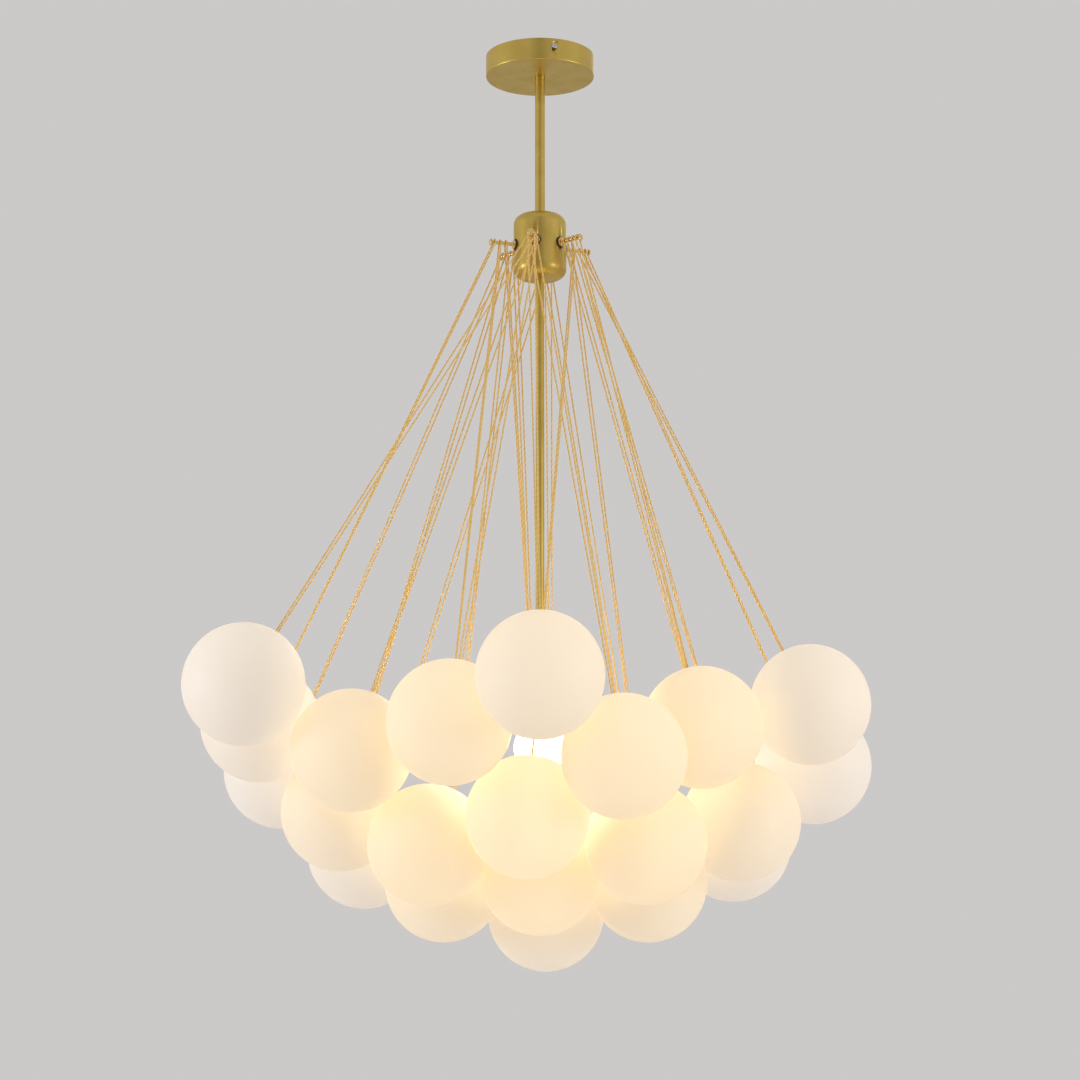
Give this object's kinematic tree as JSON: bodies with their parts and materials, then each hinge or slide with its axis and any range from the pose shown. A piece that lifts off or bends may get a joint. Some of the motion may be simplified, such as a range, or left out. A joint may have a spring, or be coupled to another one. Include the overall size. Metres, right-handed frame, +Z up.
{
  "type": "bubble chandelier",
  "caption": "Ceiling chandelier: frosted glass bubbles hung on gold cords from a brass hub, round one lamp on a rigid stem.",
  "frame": {"origin": "centre of the ceiling plate's upper face, on the chandelier's axis, at the ceiling", "axes": "+Z up into the ceiling; the pictured front looks along -Y; +X to the viewer's right"},
  "size_m": [0.8009, 0.7304, 1.0778],
  "materials": {
    "satin_brass": "satin brushed",
    "polished_gold": "polished",
    "plated_steel": "zinc plated",
    "gold_cord": "twisted, slight sheen",
    "opal_glass": "frosted opal, lit from inside the cloud",
    "holder_plastic": "semi-gloss",
    "lamp_glass": "frosted, glowing"
  },
  "bodies": {
    "root": {"ceiling_plate": "plated_steel", "canopy": "satin_brass", "canopy_screw": "plated_steel", "stem_locknut": "plated_steel", "upper_stem": "satin_brass", "hub_body": "satin_brass", "cord_hook_1": "polished_gold", "cord_hook_2": "polished_gold", "cord_hook_3": "polished_gold", "cord_hook_4": "polished_gold", "cord_hook_5": "polished_gold", "cord_hook_6": "polished_gold", "lower_stem": "satin_brass", "lamp_cup": "satin_brass", "lampholder": "holder_plastic", "bulb": "lamp_glass", "cord_04": "gold_cord", "cord_05": "gold_cord", "cord_11": "gold_cord", "cord_13": "gold_cord", "cord_14": "gold_cord", "cord_15": "gold_cord", "cord_18": "gold_cord", "cord_19": "gold_cord", "cord_20": "gold_cord", "cord_21": "gold_cord", "cord_22": "gold_cord"},
    "cord_01_swinging": {"cord_01": "gold_cord"},
    "bubble_01": {"bubble_01": "opal_glass"},
    "cord_02_swinging": {"cord_02": "gold_cord"},
    "bubble_02": {"bubble_02": "opal_glass"},
    "cord_03_swinging": {"cord_03": "gold_cord"},
    "bubble_03": {"bubble_03": "opal_glass"},
    "bubble_04": {"bubble_04": "opal_glass"},
    "bubble_05": {"bubble_05": "opal_glass"},
    "cord_06_swinging": {"cord_06": "gold_cord"},
    "bubble_06": {"bubble_06": "opal_glass"},
    "cord_07_swinging": {"cord_07": "gold_cord"},
    "bubble_07": {"bubble_07": "opal_glass"},
    "cord_08_swinging": {"cord_08": "gold_cord"},
    "bubble_08": {"bubble_08": "opal_glass"},
    "cord_09_swinging": {"cord_09": "gold_cord"},
    "bubble_09": {"bubble_09": "opal_glass"},
    "cord_10_swinging": {"cord_10": "gold_cord"},
    "bubble_10": {"bubble_10": "opal_glass"},
    "bubble_11": {"bubble_11": "opal_glass"},
    "cord_12_swinging": {"cord_12": "gold_cord"},
    "bubble_12": {"bubble_12": "opal_glass"},
    "bubble_13": {"bubble_13": "opal_glass"},
    "bubble_14": {"bubble_14": "opal_glass"},
    "bubble_15": {"bubble_15": "opal_glass"},
    "cord_16_swinging": {"cord_16": "gold_cord"},
    "bubble_16": {"bubble_16": "opal_glass"},
    "cord_17_swinging": {"cord_17": "gold_cord"},
    "bubble_17": {"bubble_17": "opal_glass"},
    "bubble_18": {"bubble_18": "opal_glass"},
    "bubble_19": {"bubble_19": "opal_glass"},
    "bubble_20": {"bubble_20": "opal_glass"},
    "bubble_21": {"bubble_21": "opal_glass"},
    "bubble_22": {"bubble_22": "opal_glass"}
  },
  "joints": [
    {"name": "bubble_01_swing", "type": "hinge", "parent": "root", "child": "cord_01_swinging", "pos_m": [-0.00925, -0.05247, -0.239], "axis": [-0.0872, 0.9962, 0], "range_deg": [0, 15]},
    {"name": "bubble_01_turn", "type": "hinge", "parent": "cord_01_swinging", "child": "bubble_01", "pos_m": [-0.33464, -0.08544, -0.78012], "axis": [0.5146, 0.0522, 0.8558], "continuous": true},
    {"name": "bubble_02_swing", "type": "hinge", "parent": "root", "child": "cord_02_swinging", "pos_m": [-0.05382, -0.01959, -0.239], "axis": [0.1736, 0.9848, 0], "range_deg": [0, 15]},
    {"name": "bubble_02_turn", "type": "hinge", "parent": "cord_02_swinging", "child": "bubble_02", "pos_m": [-0.32752, 0.05696, -0.80148], "axis": [0.4343, -0.1215, 0.8925], "continuous": true},
    {"name": "bubble_03_swing", "type": "hinge", "parent": "root", "child": "cord_03_swinging", "pos_m": [-0.04416, 0.03705, -0.239], "axis": [0.5736, 0.8192, 0], "range_deg": [0, 15]},
    {"name": "bubble_03_turn", "type": "hinge", "parent": "cord_03_swinging", "child": "bubble_03", "pos_m": [-0.31328, 0.20648, -0.83708], "axis": [0.3973, -0.2501, 0.8829], "continuous": true},
    {"name": "bubble_04_turn", "type": "hinge", "parent": "root", "child": "bubble_04", "pos_m": [-0.2136, -0.05696, -0.85132], "axis": [0.3189, 0.0222, 0.9475], "continuous": true},
    {"name": "bubble_05_turn", "type": "hinge", "parent": "root", "child": "bubble_05", "pos_m": [-0.09968, -0.17088, -0.83708], "axis": [0.0846, 0.248, 0.9651], "continuous": true},
    {"name": "bubble_06_swing", "type": "hinge", "parent": "root", "child": "cord_06_swinging", "pos_m": [-0.01012, -0.05738, -0.239], "axis": [-1, 0, 0], "range_deg": [0, 15]},
    {"name": "bubble_06_turn", "type": "hinge", "parent": "cord_06_swinging", "child": "bubble_06", "pos_m": [0, -0.27056, -0.80148], "axis": [-0.0168, 0.3543, 0.935], "continuous": true},
    {"name": "bubble_07_swing", "type": "hinge", "parent": "root", "child": "cord_07_swinging", "pos_m": [-0.00838, -0.04755, -0.239], "axis": [-0.8829, -0.4695, 0], "range_deg": [0, 15]},
    {"name": "bubble_07_turn", "type": "hinge", "parent": "cord_07_swinging", "child": "bubble_07", "pos_m": [0.09256, -0.15664, -0.87268], "axis": [-0.1551, 0.1676, 0.9736], "continuous": true},
    {"name": "bubble_08_swing", "type": "hinge", "parent": "root", "child": "cord_08_swinging", "pos_m": [0.04416, -0.03705, -0.239], "axis": [-0.8829, -0.4695, 0], "range_deg": [0, 15]},
    {"name": "bubble_08_turn", "type": "hinge", "parent": "cord_08_swinging", "child": "bubble_08", "pos_m": [0.18512, -0.04272, -0.82284], "axis": [-0.2347, 0.0094, 0.972], "continuous": true},
    {"name": "bubble_09_swing", "type": "hinge", "parent": "root", "child": "cord_09_swinging", "pos_m": [0.04725, 0.0172, -0.239], "axis": [-0.5, -0.866, 0], "range_deg": [0, 15]},
    {"name": "bubble_09_turn", "type": "hinge", "parent": "cord_09_swinging", "child": "bubble_09", "pos_m": [0.31328, 0.01424, -0.78724], "axis": [-0.4366, 0.0049, 0.8997], "continuous": true},
    {"name": "bubble_10_swing", "type": "hinge", "parent": "root", "child": "cord_10_swinging", "pos_m": [0.05382, 0.01959, -0.239], "axis": [0.4226, -0.9063, 0], "range_deg": [0, 15]},
    {"name": "bubble_10_turn", "type": "hinge", "parent": "cord_10_swinging", "child": "bubble_10", "pos_m": [0.32752, 0.16376, -0.83708], "axis": [-0.4065, -0.2141, 0.8882], "continuous": true},
    {"name": "bubble_11_turn", "type": "hinge", "parent": "root", "child": "bubble_11", "pos_m": [0.23496, 0.07832, -0.9154], "axis": [-0.2744, -0.1562, 0.9489], "continuous": true},
    {"name": "bubble_12_swing", "type": "hinge", "parent": "root", "child": "cord_12_swinging", "pos_m": [0.02982, -0.02502, -0.239], "axis": [0.866, -0.5, 0], "range_deg": [0, 15]},
    {"name": "bubble_12_turn", "type": "hinge", "parent": "cord_12_swinging", "child": "bubble_12", "pos_m": [0.23496, 0.23496, -0.92252], "axis": [-0.2701, -0.3423, 0.8999], "continuous": true},
    {"name": "bubble_13_turn", "type": "hinge", "parent": "root", "child": "bubble_13", "pos_m": [-0.01424, -0.07832, -0.92964], "axis": [0.0786, 0.1332, 0.988], "continuous": true},
    {"name": "bubble_14_turn", "type": "hinge", "parent": "root", "child": "bubble_14", "pos_m": [-0.12816, 0.00712, -0.951], "axis": [0.1679, -0.062, 0.9839], "continuous": true},
    {"name": "bubble_15_turn", "type": "hinge", "parent": "root", "child": "bubble_15", "pos_m": [-0.23496, 0.09968, -0.90116], "axis": [0.282, -0.0961, 0.9546], "continuous": true},
    {"name": "bubble_16_swing", "type": "hinge", "parent": "root", "child": "cord_16_swinging", "pos_m": [0.00995, 0.0564, -0.239], "axis": [1, 0, 0], "range_deg": [0, 15]},
    {"name": "bubble_16_turn", "type": "hinge", "parent": "cord_16_swinging", "child": "bubble_16", "pos_m": [0.01424, 0.3204, -0.90116], "axis": [-0.006, -0.3703, 0.9289], "continuous": true},
    {"name": "bubble_17_swing", "type": "hinge", "parent": "root", "child": "cord_17_swinging", "pos_m": [0.00873, 0.04952, -0.239], "axis": [0.9848, 0.1736, 0], "range_deg": [0, 15]},
    {"name": "bubble_17_turn", "type": "hinge", "parent": "cord_17_swinging", "child": "bubble_17", "pos_m": [-0.2136, 0.2492, -0.92964], "axis": [0.2954, -0.2654, 0.9178], "continuous": true},
    {"name": "bubble_18_turn", "type": "hinge", "parent": "root", "child": "bubble_18", "pos_m": [-0.11392, 0.14952, -0.97948], "axis": [0.1051, -0.1597, 0.9815], "continuous": true},
    {"name": "bubble_19_turn", "type": "hinge", "parent": "root", "child": "bubble_19", "pos_m": [0, 0.06408, -0.97948], "axis": [-0.0402, -0.0526, 0.9978], "continuous": true},
    {"name": "bubble_20_turn", "type": "hinge", "parent": "root", "child": "bubble_20", "pos_m": [0.12104, -0.00712, -0.951], "axis": [-0.1205, -0.0305, 0.9922], "continuous": true},
    {"name": "bubble_21_turn", "type": "hinge", "parent": "root", "child": "bubble_21", "pos_m": [0.12816, 0.14952, -0.97948], "axis": [-0.1592, -0.141, 0.9771], "continuous": true},
    {"name": "bubble_22_turn", "type": "hinge", "parent": "root", "child": "bubble_22", "pos_m": [0.00712, 0.22072, -1.00796], "axis": [-0.0593, -0.2923, 0.9545], "continuous": true}
  ]
}
